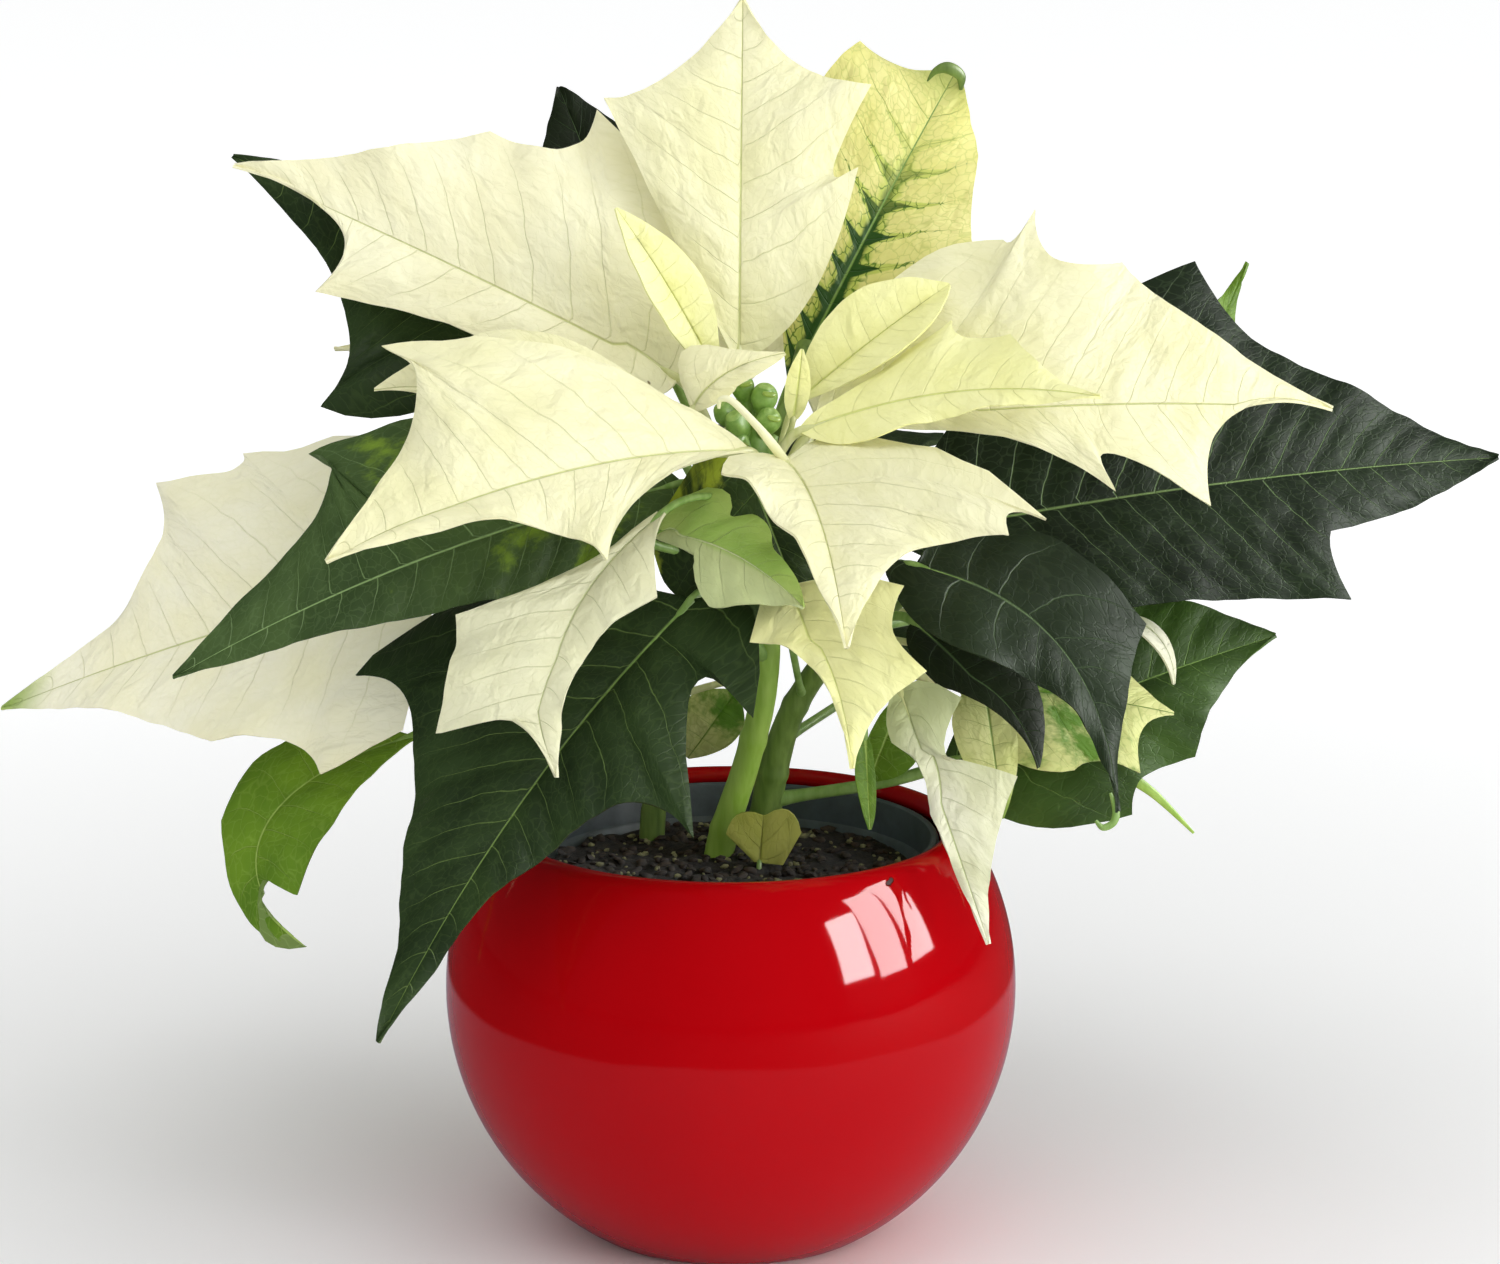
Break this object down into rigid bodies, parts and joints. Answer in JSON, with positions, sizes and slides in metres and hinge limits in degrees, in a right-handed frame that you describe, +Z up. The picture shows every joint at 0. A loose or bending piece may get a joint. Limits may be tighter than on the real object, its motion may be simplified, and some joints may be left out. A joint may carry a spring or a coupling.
{
  "type": "potted poinsettia",
  "caption": "Poinsettia with cream bracts and dark green lobed leaves, growing in a nursery pot inside a round red glazed pot.",
  "frame": {"origin": "centre of the flat base that the red pot stands on", "axes": "+Z up, -Y towards the viewer's side of the plant, +X to that viewer's right"},
  "size_m": [0.3738, 0.2416, 0.2994],
  "materials": {
    "red_glaze": "high gloss red glaze",
    "grey_plastic": "matt dark grey plastic",
    "peat": "moist dark peat",
    "stem_green": "smooth green stem",
    "bract_cream": "soft matt petal",
    "bract_lime": "soft matt petal with green veins",
    "leaf_green": "satin leaf",
    "leaf_bright": "satin leaf",
    "leaf_dry": "dry matt leaf",
    "cyathium_green": "waxy green bud"
  },
  "bodies": {
    "root": {"bract_back_left": "bract_cream", "bract_back_middle": "bract_cream", "bract_back_right": "bract_cream", "bract_cup": "bract_cream", "bract_far_left": "bract_cream", "bract_front": "bract_cream", "bract_front_left": "bract_cream", "bract_front_low": "bract_cream", "bract_green_veined": "bract_lime", "bract_hanging": "bract_cream", "bract_hook": "bract_lime", "bract_left": "bract_cream", "bract_left_under": "bract_cream", "bract_lime": "bract_lime", "bract_lime_slim": "bract_lime", "bract_mottled": "bract_lime", "bract_right": "bract_cream", "bract_right_front": "bract_cream", "bract_slim": "bract_cream", "bract_top": "bract_cream", "bract_upper_left": "bract_cream", "bract_young_left": "bract_cream", "bract_young_right": "bract_cream", "cyathia": "cyathium_green", "leaf_back_left": "leaf_green", "leaf_back_low": "leaf_green", "leaf_back_middle": "leaf_green", "leaf_back_right": "leaf_green", "leaf_back_top": "leaf_green", "leaf_curled": "leaf_bright", "leaf_fallen": "leaf_dry", "leaf_front_left": "leaf_green", "leaf_left": "leaf_green", "leaf_low_left": "leaf_bright", "leaf_low_right": "leaf_green", "leaf_mid": "leaf_green", "leaf_right": "leaf_green", "leaf_right_dark": "leaf_green", "leaf_right_drooping": "leaf_green", "leaf_sliver": "leaf_bright", "leaf_small_right": "leaf_bright", "leaf_upper_left": "leaf_green", "nursery_pot": "grey_plastic", "pot": "red_glaze", "soil": "peat", "stem_left": "stem_green", "stem_main": "stem_green", "stem_side": "stem_green"}
  },
  "joints": []
}
